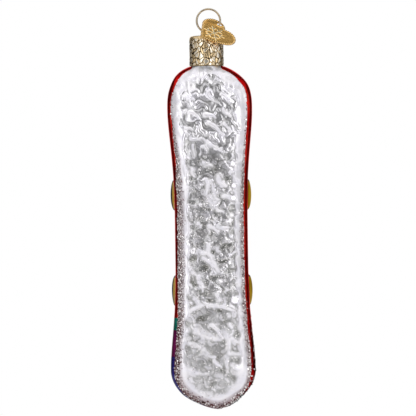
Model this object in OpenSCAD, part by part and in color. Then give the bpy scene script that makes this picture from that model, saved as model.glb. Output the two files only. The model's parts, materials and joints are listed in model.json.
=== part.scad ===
// Snowboard ornament: a hollow blown-glass board with moulded bindings, a metal cap,
// a spring-wire hanger and a heart tag. All sizes are in millimetres.
// The origin is the hanging point, inside the top of the hanger ring. +Z is up.
// The board's back faces -Y and its bindings face +Y.

/* [Board] */
// Length of the glass from the shoulder under the cap to the tail tip
board_len = 113; // [100:0.5:130]
// Width across the nose and across the tail
end_w = 28; // [25:0.5:34]
// Width across the waist
waist_w = 24; // [20:0.5:26]
// Thickness through the middle of the board
board_t = 13; // [12:0.5:16]
// Length of the rounded nose
nose_len = 14; // [12:0.5:18]
// Length of the rounded tail
tail_len = 13; // [11:0.5:18]
// How far the nose and the tail curve toward the front
kick = 2; // [0:0.25:3]
// Thickness of the glass wall
wall = 0.8; // [0.6:0.1:1.1]
// Width of the smooth border round the back panel
border = 4; // [3:0.25:5.5]
// Depth of the back panel below its border
recess = 0.4; // [0.2:0.05:0.6]

/* [Bindings] */
// Distance between the two bindings, centre to centre
stance = 31.4; // [27:0.2:36]
// Distance from the shoulder to the middle of the stance
stance_mid = 58; // [54:0.5:62]
// Length of a binding, across the board
binding_w = 26.8; // [26.2:0.2:29]
// Width of a binding, along the board
binding_h = 10; // [8:0.2:11]
// Height of a binding's base above the board's front
base_rise = 1.4; // [1:0.1:2]
// Height of the two arched straps above the base
strap_rise = 1.8; // [1:0.1:2.4]
// Width of a strap
strap_w = 3.4; // [2.8:0.1:4]
// Height of the heel cup above the base
heel_rise = 2.8; // [1.5:0.1:3.2]

/* [Neck and cap] */
// Outside diameter of the neck
neck_d = 10.6; // [9.4:0.1:11]
// Sideways shift of the neck from the board's centreline
neck_shift = -0.8; // [-2:0.1:2]
// Radial clearance between the neck and the cap
neck_fit = 0.1; // [0.05:0.05:0.2]
// Height of the cap
cap_h = 9.9; // [8:0.1:12]
// Sheet thickness of the cap
cap_wall = 0.3; // [0.2:0.05:0.5]
// Radius of the cap's top edge
cap_round = 0.9; // [0.6:0.1:1.5]
// Gap between the cap's lower edge and the shoulder
cap_gap = 0.2; // [0.15:0.05:0.4]

/* [Hanger wire] */
// Diameter of the wire
wire_d = 0.65; // [0.5:0.05:0.8]
// Outside diameter of the ring
ring_d = 8.4; // [8:0.1:10]
// Height of the ring's centre above the cap
ring_rise = 5; // [4.8:0.1:6.5]
// Distance between the two legs where they enter the cap
leg_gap = 2; // [1.8:0.1:2.4]
// Length of the legs below the cap's top
leg_len = 15; // [12:0.5:20]
// Radius of the bends between ring and legs
bend_r = 0.8; // [0.6:0.1:1]
// Clearance round a leg in its slot and in the neck
leg_fit = 0.2; // [0.15:0.05:0.3]

/* [Heart tag] */
// Radius of each of the heart's two lobes
lobe_r = 4; // [3.6:0.1:4.2]
// Thickness of the tag
tag_t = 0.25; // [0.2:0.05:0.4]
// Diameter of the tag's hole
tag_hole_d = 1.6; // [1.4:0.1:1.8]
// Width of metal between the hole and the edge of the lobe
tag_edge = 0.6; // [0.4:0.1:1]
// Width of the raised rim
rim_w = 0.8; // [0.5:0.1:1]
// Height of the raised rim above the face
rim_h = 0.12; // [0.1:0.02:0.2]
// Place of the tag on the ring, in degrees up from the right side
tag_seat = -21; // [-23:1:-16]
// Tilt of the tag about X
tag_tilt = 18; // [15:1:20]
// Roll of the tag about Y
tag_roll = 41; // [39:1:44]
// Turn of the tag about Z
tag_turn = -37; // [-39:1:-34]

/* [Hidden] */
$fn = 96;

// Heights, from the hanging point down
ring_r = (ring_d - wire_d) / 2;
ring_z = wire_d / 2 - ring_r;
cap_top = ring_z - ring_rise;
cap_bottom = cap_top - cap_h;
neck_top = cap_top - cap_wall;
shoulder_z = cap_bottom - cap_gap;

// Radii about the neck's axis
bore_r = neck_d / 2 - wall;
cap_bore_r = neck_d / 2 + neck_fit;
cap_r = cap_bore_r + cap_wall;
shoulder_r = cap_r + 0.1;

// Board outline, with s running down from the shoulder
nose_fall = 2.75;
tail_fall = 0.65;
nose_reach = nose_len / pow(1 - pow(2 * shoulder_r / end_w, 2), 1 / nose_fall);
tail_s = board_len - tail_len;
kick_len = 30;
fullness = 3;

// Binding layout, with the heel toward -X
binding_s = [stance_mid - stance / 2, stance_mid + stance / 2];
pad_edge = 1;
pad_lip = 1.5;
strap_x = [-2.6, 4.8];
heel_x = -6.4;
heel_w = 2.6;

// Hanger layout
left_x = neck_shift - leg_gap / 2;
right_x = neck_shift + leg_gap / 2;
left_z = ring_z - sqrt(pow(ring_r + bend_r, 2) - pow(left_x - bend_r, 2));
right_z = ring_z - sqrt(pow(ring_r + bend_r, 2) - pow(right_x + bend_r, 2));
left_turn = atan2(ring_z - left_z, bend_r - left_x);
right_turn = atan2(ring_z - right_z, right_x + bend_r);
splay_drop = 1.2;
splay_z = cap_top - splay_drop;
leg_reach = bore_r - wire_d / 2 - leg_fit;
splay = atan2(leg_reach - leg_gap / 2, leg_len - splay_drop);
knuckle_d = 1.05 * wire_d;
knuckle_gap = 0.05;

// Tag layout
lobe_side = 2 * lobe_r;
hole_up = lobe_r - tag_edge - tag_hole_d / 2;
lobe_at = lobe_side / sqrt(8);
seat = [ring_r * cos(tag_seat), 0, ring_z + ring_r * sin(tag_seat)];

function smooth(t) = let (c = min(1, max(0, t))) c * c * (3 - 2 * c);

function run(a, b, n) = [for (i = [0 : n - 1]) a + (b - a) * i / n];

// Sidecut: 0 at the waist, 1 at the widest part, level at both
function sidecut(u) = pow(u, 4) * (5 - 4 * u);

function half_w(s) =
    s < nose_len ? end_w / 2 * sqrt(1 - pow((nose_len - s) / nose_reach, nose_fall))
    : s > tail_s ? end_w / 2 * pow(max(0, 1 - pow((s - tail_s) / tail_len, 2)), tail_fall)
    : waist_w / 2 + (end_w - waist_w) / 2
        * sidecut(abs(2 * (s - nose_len) / (tail_s - nose_len) - 1));

function half_t(s) =
    s < nose_len ? board_t / 2 - (board_t / 2 - shoulder_r) * pow(1 - s / nose_len, 2)
    : s > tail_s ? board_t / 2 * sqrt(max(0, 1 - pow((s - tail_s) / tail_len, 2)))
    : board_t / 2;

// Exponent of the section: round at the neck, boxy along the board
function corner(s) =
    s < nose_len ? 2 + (fullness - 2) * smooth(s / nose_len)
    : s > tail_s ? fullness - 0.7 * (s - tail_s) / tail_len
    : fullness;

function mid_x(s) = neck_shift * smooth(1 - 2 * s / nose_len);

function mid_y(s) =
    -kick * (1 - pow(max(0, 1 - min(s, board_len - s) / kick_len), 2));

// Distance along the board from the nearer binding's edge, inward
function pad_in(s, inset) = max([for (b = binding_s) binding_h / 2 - inset - abs(s - b)]);

// 1 on a binding's base, falling to 0 at its edge
function pad(s, inset) = smooth(pad_in(s, inset) / pad_edge);

// Half-round rise over a binding, 1 along its middle and 0 at its edge
function arch(s, inset) =
    sqrt(1 - pow(1 - min(1, max(0, pad_in(s, inset) / (binding_h / 2 - inset))), 2));

// Straps and heel cup on top of a binding's base
function relief(x, s) =
    arch(s, 0) * strap_rise
        * max([for (at = strap_x) smooth((strap_w / 2 - abs(x - at)) * 2 / strap_w)])
    + pad(s, 0) * heel_rise * smooth((heel_x - x) / heel_w);

// One point of the glass surface, at s below the shoulder and at angle a about the section
function skin(s, a, inset) =
    let (
        n = corner(s),
        w = half_w(s) - inset,
        t = half_t(s) - inset,
        x0 = w * cos(a),
        y0 = t * sign(sin(a)) * pow(max(0, 1 - pow(abs(cos(a)), n)), 1 / n),
        lift = smooth(y0 / pad_lip),
        x = x0 * (1 + lift * arch(s, inset) * ((binding_w / 2 - inset) / w - 1)),
        y = y0 > 0
            ? y0 + lift * (pad(s, inset) * base_rise + (inset > 0 ? 0 : relief(x, s)))
            : y0 + recess * smooth((w + inset - border - abs(x0)) / 1.2)
                * smooth((s - border) / 2)
    ) [mid_x(s) + x, mid_y(s) + y, shoulder_z - s];

// Heights of the sections, closer together at the ends and at the bindings' edges
function pad_rows(b, h, n) = concat(
    [for (e = [0, 0.3, 0.6]) b - h + e * pad_edge],
    run(b - h + pad_edge, b + h - pad_edge, ceil(n / 2)),
    [for (e = [1, 0.6, 0.3]) b + h - e * pad_edge]);

function stations(inset, n) =
    let (h = binding_h / 2 - inset, b = binding_s)
    concat(
        [for (i = [0 : n - 1]) inset + (nose_len - inset) * (1 - cos(90 * i / n))],
        run(nose_len, b[0] - h, n),
        pad_rows(b[0], h, n),
        run(b[0] + h, b[1] - h, ceil(n / 2)),
        pad_rows(b[1], h, n),
        run(b[1] + h, tail_s, n),
        [for (i = [0 : n - 1]) tail_s + (tail_len - 1.4 * inset) * sin(90 * i / n)]);

// Closed skin of the board, drawn inward by inset
module board_skin(inset, n, angles) {
    rows = stations(inset, n);
    count = len(angles);
    last = len(rows) - 1;
    pole = len(rows) * count;
    tip = [0, mid_y(board_len), shoulder_z - board_len + 1.4 * inset];
    points = [for (s = rows) for (a = angles) skin(s, a, inset)];
    polyhedron(
        points = concat(points, [tip]),
        faces = concat(
            [[for (j = [count - 1 : -1 : 0]) j]],
            [for (i = [0 : last - 1]) for (j = [0 : count - 1])
                let (k = (j + 1) % count) [i * count + j, i * count + k, (i + 1) * count + k]],
            [for (i = [0 : last - 1]) for (j = [0 : count - 1])
                let (k = (j + 1) % count) [i * count + j, (i + 1) * count + k, (i + 1) * count + j]],
            [for (j = [0 : count - 1]) [last * count + j, last * count + (j + 1) % count, pole]]),
        convexity = 6);
}

// Hollow glass shell with its open neck
module glass_board() {
    color([0.82, 0.82, 0.86])
    difference() {
        union() {
            board_skin(0, 9, concat(run(0, 180, 36), run(180, 360, 18)));
            translate([neck_shift, 0, shoulder_z - wall])
                cylinder(r = neck_d / 2, h = neck_top - shoulder_z + wall);
        }
        board_skin(wall, 5, run(0, 360, 20));
        translate([neck_shift, 0, shoulder_z - 2 * wall])
            cylinder(r = bore_r, h = neck_top - shoulder_z + 3 * wall);
    }
}

// Stamped cap with a slot for each leg of the hanger
module cap() {
    slot_in = leg_gap / 2 - wire_d / 2 - leg_fit;
    slot_out = leg_reach + wire_d / 2 + leg_fit;
    slot_w = wire_d + 2 * leg_fit;
    color([0.78, 0.66, 0.42])
    translate([neck_shift, 0, cap_bottom])
    difference() {
        rotate_extrude()
        difference() {
            union() {
                square([cap_r - cap_round, cap_h]);
                square([cap_r, cap_h - cap_round]);
                translate([cap_r - cap_round, cap_h - cap_round])
                    circle(cap_round);
            }
            translate([0, -1])
                square([cap_bore_r, cap_h - cap_wall + 1]);
        }
        for (side = [0, 180])
            rotate(side)
            translate([slot_in, -slot_w / 2, cap_h - 2 * cap_wall])
                cube([slot_out - slot_in, slot_w, 3 * cap_wall]);
    }
}

// Wire bent to an arc in the XZ plane, a little short of both ends, where knuckles join it
module wire_arc(x, z, r, from, to) {
    short = asin(knuckle_gap / r);
    translate([x, 0, z])
    rotate([90, 0, 0])
    rotate(from + short)
    rotate_extrude(angle = to - from - 2 * short)
    translate([r, 0])
        circle(d = wire_d, $fn = 32);
}

// Straight wire down from a point in the XZ plane, leaning outward by an angle
module wire_straight(x, z, lean, length) {
    translate([x, 0, z])
    rotate([0, 180 - lean, 0])
    translate([0, 0, knuckle_gap])
        cylinder(d = wire_d, h = length - knuckle_gap, $fn = 32);
}

// Ball that joins two runs of wire
module knuckle(x, z) {
    translate([x, 0, z])
        sphere(d = knuckle_d, $fn = 32);
}

// One side of the hanger below the ring: bend, straight run through the cap, splayed leg
module wire_leg(x, bend_z, turn) {
    wire_arc(x + bend_r, bend_z, bend_r, 180 - turn, 180);
    knuckle(x + bend_r - bend_r * cos(turn), bend_z + bend_r * sin(turn));
    knuckle(x, bend_z);
    wire_straight(x, bend_z, 0, bend_z - splay_z - knuckle_gap);
    knuckle(x, splay_z);
    wire_straight(x, splay_z, splay, (leg_len - splay_drop) / cos(splay));
}

// Spring wire bent to a ring with two legs
module hanger_wire() {
    color([0.72, 0.58, 0.36]) {
        wire_arc(0, ring_z, ring_r, -right_turn, 180 + left_turn);
        wire_leg(right_x, right_z, right_turn);
        mirror([1, 0, 0])
            wire_leg(-left_x, left_z, left_turn);
    }
}

// Heart outline, drawn inward by inset, with the tip down and the middle of the square at the origin
module heart(inset) {
    rotate(45)
    translate([-lobe_r, -lobe_r]) {
        translate([inset, inset])
            square([lobe_side - 2 * inset, lobe_side - inset]);
        translate([inset, inset])
            square([lobe_side - inset, lobe_side - 2 * inset]);
        translate([lobe_side, lobe_r])
            circle(lobe_r - inset);
        translate([lobe_r, lobe_side])
            circle(lobe_r - inset);
    }
}

// Thin tag with a raised rim, threaded on the ring through the hole in its left lobe
module heart_tag() {
    color([0.80, 0.62, 0.28])
    translate(seat)
    rotate([tag_tilt, tag_roll, tag_turn])
    translate([lobe_at, -lobe_at - hole_up, -tag_t / 2])
    difference() {
        union() {
            linear_extrude(tag_t)
                heart(0);
            linear_extrude(tag_t + rim_h)
            difference() {
                heart(0);
                heart(rim_w);
            }
        }
        translate([-lobe_at, lobe_at + hole_up, -1])
            cylinder(d = tag_hole_d, h = 3, $fn = 48);
    }
}

glass_board();
cap();
hanger_wire();
heart_tag();
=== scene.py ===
# %% [markdown]
# # A snowboard ornament in blown glass
# The real thing is a hollow glass board, blown into a mould, silvered, lacquered red on its front
# and finished with glitter. A gold cap sits on its neck, and a wire hanger carries a heart tag.
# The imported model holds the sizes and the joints. This script only dresses it, so it loads that
# model first and puts each new piece where the model says.

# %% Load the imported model
import json
import math

import bpy
import numpy as np
from mathutils import Matrix, Vector

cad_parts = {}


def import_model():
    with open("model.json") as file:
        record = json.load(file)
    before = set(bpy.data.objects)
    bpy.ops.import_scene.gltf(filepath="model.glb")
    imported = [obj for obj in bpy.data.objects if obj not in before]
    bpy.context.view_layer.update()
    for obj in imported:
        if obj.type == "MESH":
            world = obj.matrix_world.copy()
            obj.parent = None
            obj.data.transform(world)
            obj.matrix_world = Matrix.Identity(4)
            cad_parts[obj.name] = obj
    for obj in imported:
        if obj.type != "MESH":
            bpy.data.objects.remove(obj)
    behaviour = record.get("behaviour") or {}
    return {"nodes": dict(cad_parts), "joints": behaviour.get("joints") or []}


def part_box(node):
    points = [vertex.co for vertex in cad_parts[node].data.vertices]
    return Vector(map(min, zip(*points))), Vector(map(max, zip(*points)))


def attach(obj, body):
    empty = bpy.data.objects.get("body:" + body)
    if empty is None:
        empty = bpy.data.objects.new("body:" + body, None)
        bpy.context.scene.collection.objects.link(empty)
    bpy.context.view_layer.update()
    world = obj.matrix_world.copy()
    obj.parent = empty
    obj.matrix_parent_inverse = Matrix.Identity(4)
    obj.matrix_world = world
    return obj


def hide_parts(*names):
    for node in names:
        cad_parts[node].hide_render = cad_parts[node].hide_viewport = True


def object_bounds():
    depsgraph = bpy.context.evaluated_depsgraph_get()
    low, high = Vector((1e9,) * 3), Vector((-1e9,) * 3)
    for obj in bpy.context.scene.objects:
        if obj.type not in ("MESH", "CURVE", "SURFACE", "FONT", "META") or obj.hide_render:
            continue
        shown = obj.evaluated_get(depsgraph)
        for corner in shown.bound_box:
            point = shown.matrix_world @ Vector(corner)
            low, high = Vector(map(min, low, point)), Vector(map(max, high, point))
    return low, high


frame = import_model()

cad_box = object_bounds()
mm = 0.001
print("nodes:", sorted(frame["nodes"]))

# %% [markdown]
# ## Camera
# The photo looks straight at the hammered back from far away, so the outline shows almost no
# perspective. A long lens at a good distance does the same. The scale of the photo is known from
# the cap, so the width of the picture in millimetres sets the lens.

# %% Camera
photo_px = 416
px_size = 0.33 * mm
picture_w = photo_px * px_size
camera_far = 1.2
camera_roll = math.radians(-0.8)
upright = math.radians(90.0)
aim = Vector((-1.01 * mm, 0.0, -65.3 * mm))

camera = bpy.data.objects.new("camera", bpy.data.cameras.new("camera"))
bpy.context.scene.collection.objects.link(camera)
camera.data.sensor_width = 36.0
camera.data.lens = camera.data.sensor_width * camera_far / picture_w
camera.location = aim + Vector((0.0, -camera_far, 0.0))
look = Matrix.Rotation(upright, 4, "X") @ Matrix.Rotation(camera_roll, 4, "Z")
camera.rotation_euler = look.to_euler()
bpy.context.scene.camera = camera
print("lens", round(camera.data.lens), "mm")

# %% [markdown]
# ## A white world
# Silver and gold show what is round them, so the world matters as much as the lamps. It is white
# where it is seen or mirrored, and gives a softer fill to everything else. One plain background
# can't do both, so a Light Path node tells the rays apart. Two helpers add nodes and feed them, here
# and in every material.

# %% A white world
scene = bpy.context.scene
scene.view_settings.view_transform = "Standard"
pure_white = (1.0, 1.0, 1.0, 1.0)
fill_strength = 0.66


def feed(tree, node, inputs):
    """Sets each named input of a node to a value, or links it to another node's output."""
    for socket, given in inputs.items():
        if isinstance(given, bpy.types.NodeSocket):
            tree.links.new(given, node.inputs[socket])
        else:
            node.inputs[socket].default_value = given
    return node


def add_node(tree, kind, inputs, **settings):
    """New shader node with its settings and its inputs."""
    node = tree.nodes.new("ShaderNode" + kind)
    for name, value in settings.items():
        setattr(node, name, value)
    return feed(tree, node, inputs)


world = bpy.data.worlds.new("white_room")
scene.world = world
world.use_nodes = True
tree = world.node_tree
fill = feed(tree, tree.nodes["Background"], {"Color": pure_white, "Strength": fill_strength})
white = add_node(tree, "Background", {"Color": pure_white, "Strength": 1.0})
rays = add_node(tree, "LightPath", {}).outputs
seen = rays["Is Camera Ray"]
for kind in ("Is Glossy Ray", "Is Transmission Ray"):
    seen = add_node(tree, "Math", {0: seen, 1: rays[kind]}, operation="MAXIMUM").outputs[0]
choose = add_node(tree, "MixShader", {0: seen, 1: fill.outputs[0], 2: white.outputs[0]})
feed(tree, tree.nodes["World Output"], {"Surface": choose.outputs[0]})
print("fill", fill_strength, "of white")

# %% [markdown]
# ## Lamps and studio cards
# In an all-white room silver and gold would look like flat paint, so a photographer sets up soft
# lamps for the bright streaks and grey cards for the dark ones. Each stands at an offset from the
# middle of the object, in metres, and faces it. Only mirrors see the cards.

# %% Lamps and studio cards
middle = (cad_box[0] + cad_box[1]) / 2


def set_up(name, data, offset):
    """Puts a lamp or card at its offset, turned to the middle and unseen by the camera."""
    thing = bpy.data.objects.new(name, data)
    thing.location = middle + Vector(offset)
    thing.rotation_euler = (middle - thing.location).to_track_quat("-Z", "Y").to_euler()
    thing.visible_camera = False
    scene.collection.objects.link(thing)
    return thing


def soft_lamp(name, offset, width, height, radiance):
    """Rectangular lamp of a given brightness per area, so that its mirror image is known."""
    data = bpy.data.lights.new(name, "AREA")
    data.shape = "RECTANGLE"
    data.size = width
    data.size_y = height
    data.energy = radiance * math.pi * width * height
    set_up(name, data, offset)


def new_paint(name):
    """Material with its node tree and its main shader."""
    material = bpy.data.materials.new(name)
    material.use_nodes = True
    return material, material.node_tree, material.node_tree.nodes["Principled BSDF"]


def studio_card(name, offset, width, height, grey):
    """Plain card that only mirrors see, because the camera looks through it."""
    mesh = bpy.data.meshes.new(name)
    w, h = width / 2, height / 2
    mesh.from_pydata([(-w, -h, 0), (w, -h, 0), (w, h, 0), (-w, h, 0)], [], [(0, 1, 2, 3)])
    card = set_up(name, mesh, offset)
    card.visible_diffuse = False
    card.visible_shadow = False
    material, tree, shader = new_paint(name)
    tree.nodes.remove(shader)
    glow = add_node(tree, "Emission", {"Color": (grey, grey, grey, 1.0)})
    feed(tree, tree.nodes["Material Output"], {"Surface": glow.outputs[0]})
    mesh.materials.append(material)


lamps = [
    dict(name="left_lamp", offset=(-0.51, -0.82, 0.1), width=0.17, height=1.2, radiance=1.08),
    dict(name="right_lamp", offset=(0.42, -0.9, 0.12), width=0.2, height=1.0, radiance=1.7),
    dict(name="edge_lamp", offset=(1.0, -0.34, 0.1), width=0.09, height=0.9, radiance=2.2),
    dict(name="top_lamp", offset=(0.0, -0.25, 1.0), width=0.6, height=0.4, radiance=1.2),
]
cards = [
    dict(name="dark_behind_camera", offset=(0.0, -1.7, 0.05), width=1.0, height=1.6, grey=0.17),
    dict(name="grey_left", offset=(-1.45, -0.3, 0.0), width=1.4, height=2.0, grey=0.5),
    dict(name="grey_right", offset=(1.37, -0.55, 0.0), width=2.1, height=2.0, grey=0.56),
    dict(name="dark_left", offset=(-1.4, 1.0, 0.0), width=1.8, height=2.2, grey=0.04),
    dict(name="dark_right", offset=(1.4, 1.0, 0.0), width=1.8, height=2.2, grey=0.04),
    dict(name="dark_above", offset=(0.0, 0.9, 1.35), width=2.4, height=1.3, grey=0.06),
]
for lamp in lamps:
    soft_lamp(**lamp)
for card in cards:
    studio_card(**card)
print(len(lamps), "lamps and", len(cards), "cards")

# %% [markdown]
# ## A floor that fades away
# The ornament hangs, and a pale floor some way under it shows a soft shadow when the camera looks
# down. A wide plane would end in a hard line against the white world, so the floor is a disc whose
# paint turns clear toward its rim.

# %% A floor that fades away
floor_r = 0.36
fade_from = 0.12
floor_drop = 28 * mm
floor_z = cad_box[0].z - floor_drop
floor_sides = 96
floor_glow = 0.16

turns = np.arange(floor_sides) * 2 * math.pi / floor_sides
disc = [(floor_r * math.cos(a), floor_r * math.sin(a), floor_z) for a in turns]
floor_mesh = bpy.data.meshes.new("floor")
floor_mesh.from_pydata(disc, [], [tuple(range(floor_sides))])
floor = bpy.data.objects.new("floor", floor_mesh)
scene.collection.objects.link(floor)

floor_paint, tree, shader = new_paint("pale_floor")
feed(tree, shader, {
    "Base Color": (0.95, 0.95, 0.95, 1.0), "Roughness": 0.9,
    "Emission Color": pure_white, "Emission Strength": floor_glow})
clear = add_node(tree, "BsdfTransparent", {})
where = add_node(tree, "TexCoord", {}).outputs["Object"]
flat = add_node(tree, "VectorMath", {0: where, 1: (1.0, 1.0, 0.0)}, operation="MULTIPLY")
radius = add_node(tree, "VectorMath", {0: flat.outputs[0]}, operation="LENGTH").outputs["Value"]
limits = {"From Min": fade_from, "From Max": floor_r}
fade = add_node(tree, "MapRange", {"Value": radius, **limits}, interpolation_type="SMOOTHSTEP")
edge = add_node(tree, "MixShader", {0: fade.outputs[0], 1: shader.outputs[0], 2: clear.outputs[0]})
feed(tree, tree.nodes["Material Output"], {"Surface": edge.outputs[0]})
floor_mesh.materials.append(floor_paint)
print("floor", round(floor_drop / mm), "mm under the tail")

# %% [markdown]
# ## Helpers for meshes
# Every piece here is a surface that a formula describes, so its points come from arrays. Sculpting
# by hand would do as well, but an array can be measured and always comes out the same. Ring faces
# turn rows of points into a closed mesh with a pole at each end.

# %% Helpers for meshes
draw = np.random.default_rng(21)


def smooth(t):
    """0 below 0, 1 above 1, and level at both ends of the climb between."""
    c = np.clip(t, 0.0, 1.0)
    return c * c * (3.0 - 2.0 * c)


def ripple(x, y, size, waves=7):
    """Soft noise between about -1 and 1, made of crossing waves of one rough size."""
    total = np.zeros(np.broadcast(x, y).shape)
    lowest, highest = (0, 0.6, 0), (2 * np.pi, 1.7, 2 * np.pi)
    for heading, stretch, phase in draw.uniform(lowest, highest, (waves, 3)):
        along = x * np.cos(heading) + y * np.sin(heading)
        total += np.sin(2 * np.pi * along * stretch / size + phase)
    return total / math.sqrt(waves)


def add_mesh(name, points, faces, body, slot):
    """New smooth mesh object that rides on a body. The slot argument is not used."""
    mesh = bpy.data.meshes.new(name)
    mesh.from_pydata(np.asarray(points).tolist(), [], faces)
    mesh.polygons.foreach_set("use_smooth", np.ones(len(mesh.polygons), bool))
    piece = bpy.data.objects.new(name, mesh)
    scene.collection.objects.link(piece)
    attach(piece, body)
    print(name, len(mesh.vertices), "points,", len(mesh.polygons), "faces")
    return piece


def ring_faces(rows, cols):
    """Quads between rows of points that close round on themselves, then a fan to each pole."""
    r = np.arange(rows - 1)[:, None] * cols
    c = np.arange(cols)[None, :]
    after = (c + 1) % cols
    quads = np.stack([r + c, r + cols + c, r + cols + after, r + after], -1).reshape(-1, 4)
    first, last = rows * cols, rows * cols + 1
    base = (rows - 1) * cols
    fan = [(first, j, (j + 1) % cols) for j in range(cols)]
    fan += [(last, base + (j + 1) % cols, base + j) for j in range(cols)]
    return quads.tolist() + fan


def keep_on_points(piece, name, values):
    """Stores one number per point, which a material can read."""
    layer = piece.data.attributes.new(name, "FLOAT", "POINT")
    layer.data.foreach_set("value", np.asarray(values, np.float32).ravel())


print("half way up the smooth climb:", smooth(0.5))

# %% [markdown]
# ## The board's outline
# A snowboard is narrow at its waist and wide at both ends. These are the same curves as in the
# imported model, with s running down from the shoulder under the cap. They are repeated here so that
# the surface can be drawn far finer than a working model needs.

# %% The board's outline
glass_low, glass_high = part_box("glass_board")
cap_low, cap_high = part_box("cap")
cap_gap = 0.2 * mm
shoulder_z = cap_low.z - cap_gap
board_len = shoulder_z - glass_low.z
end_w = 28 * mm
waist_w = 24 * mm
board_t = 13 * mm
nose_len = 14 * mm
tail_len = 13 * mm
tail_s = board_len - tail_len
cap_r = (cap_high.x - cap_low.x) / 2
neck_x = (cap_high.x + cap_low.x) / 2
shoulder_r = cap_r + 0.1 * mm
kick = 2 * mm
kick_len = 30 * mm
tip_shift = 1.2 * mm
fullness = 3.0
tail_slack = 0.7
nose_fall = 2.75
tail_fall = 0.65
nose_reach = nose_len / (1 - (2 * shoulder_r / end_w) ** 2) ** (1 / nose_fall)


def tail_share(s):
    """0 on the straight of the board, climbing to 1 at the tip of the tail."""
    return np.clip((s - tail_s) / tail_len, 0.0, 1.0)


def half_width(s):
    """Half the board's width: narrow at the waist and round at both ends."""
    nose = np.clip((nose_len - s) / nose_reach, 0.0, 1.0)
    u = np.clip(np.abs(2 * (s - nose_len) / (tail_s - nose_len) - 1), 0.0, 1.0)
    side = waist_w / 2 + (end_w - waist_w) / 2 * u ** 4 * (5 - 4 * u)
    nose_w = end_w / 2 * np.sqrt(1 - nose ** nose_fall)
    tail_w = end_w / 2 * (1 - tail_share(s) ** 2) ** tail_fall
    return np.where(s < nose_len, nose_w, np.where(s > tail_s, tail_w, side))


def half_thickness(s):
    """Half its thickness, which closes to nothing at the tip of the tail."""
    nose = np.clip(1 - s / nose_len, 0.0, 1.0)
    depth = board_t / 2 - (board_t / 2 - shoulder_r) * nose ** 2
    return depth * np.sqrt(1 - tail_share(s) ** 2)


def section_corner(s):
    """Power of the rounded section: 2 is an ellipse, and more is fuller at the corners."""
    nose = 2 + (fullness - 2) * smooth(s / nose_len)
    return np.where(s < nose_len, nose, fullness - tail_slack * tail_share(s))


def middle_x(s):
    """Where its middle lies from side to side, with a bend to the neck and one to the tip."""
    tip = smooth((s - tail_s - 0.6 * tail_len) / (0.4 * tail_len))
    return neck_x * smooth(1 - 2 * s / nose_len) + tip_shift * tip


def middle_y(s):
    """Where its middle lies from back to front, with both ends kicked up to the front."""
    end = np.clip(1 - np.minimum(s, board_len - s) / kick_len, 0.0, 1.0)
    return -kick * (1 - end ** 2)


print("board", round(board_len / mm, 1), "mm long, waist", round(waist_w / mm, 1), "mm")

# %% [markdown]
# ## A fine grid over the glass
# Rows run down the board and columns run round it, first over the front and then over the back. The
# rows crowd together at both ends, where the outline turns fastest, and the front's columns at its
# edges. S holds s for every point. For each point of the back, its distance from the outline tells
# paint, glitter and panel apart later.

# %% A fine grid over the glass
row_step = 0.22 * mm
nose_steps = 64
tail_steps = 56
front_cols = 220
back_cols = 220
crowding = 0.35
quarter = np.pi / 2
nose_rows = nose_len * (1 - np.cos(np.linspace(0, quarter, nose_steps, endpoint=False)))
body_rows = np.arange(nose_len, tail_s, row_step)
tail_rows = tail_s + tail_len * np.sin(np.linspace(0, quarter, tail_steps, endpoint=False))
rows_s = np.concatenate([nose_rows, body_rows, tail_rows])
front_t = np.linspace(0, 1, front_cols, endpoint=False)
front_angles = np.pi * (front_t - crowding * np.sin(2 * np.pi * front_t) / (2 * np.pi))
back_angles = np.linspace(np.pi, 2 * np.pi, back_cols, endpoint=False)
angles = np.concatenate([front_angles, back_angles])
S = rows_s[:, None] + 0 * angles[None, :]
around = angles[None, :] + 0 * rows_s[:, None]

corner_n = section_corner(S)
flat_x = half_width(S) * np.cos(around)
round_y = np.clip(1 - np.abs(np.cos(around)) ** corner_n, 0, 1) ** (1 / corner_n)
flat_y = half_thickness(S) * np.where(np.sin(around) < 0, -round_y, round_y)
on_back = around > np.pi
at_left = flat_x < 0

outline_steps = 200
outline_tail = tail_s + tail_len * np.sin(np.linspace(0, quarter, outline_steps))
outline_s = np.concatenate([nose_rows, body_rows, outline_tail])
outline_w = half_width(outline_s)
outline_mid = middle_x(outline_s)
rim = np.full(S.shape, -1.0 * mm)
for i, s in enumerate(rows_s):
    x = (middle_x(s) + flat_x[i, front_cols:])[:, None]
    fall = (s - outline_s)[None, :] ** 2
    left = (x - (outline_mid - outline_w)[None, :]) ** 2 + fall
    right = (x - (outline_mid + outline_w)[None, :]) ** 2 + fall
    rim[i, front_cols:] = np.sqrt(np.minimum(left, right).min(1))
print("grid", S.shape, "widest rim", round(rim.max() / mm, 1), "mm")

# %% [markdown]
# ## The panel on the back
# A smooth border runs round the back, wider on one side near the nose and on the other near the
# tail, because the mould was cut by eye. The panel inside it is sunk a little, and a rounded lip
# marks its two long sides. A distance from the panel's rounded outline gives all of these. Much
# changes down the board, so two helpers give the share of a change at each point.

# %% The panel on the back
def past(start, over):
    """Share that climbs from 0 to 1 down the board, from a start over a length, both in mm."""
    return smooth((S / mm - start) / over)


def before(end, over):
    """Share that falls from 1 to 0 down the board, over a length up to an end, both in mm."""
    return smooth((end - S / mm) / over)


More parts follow.
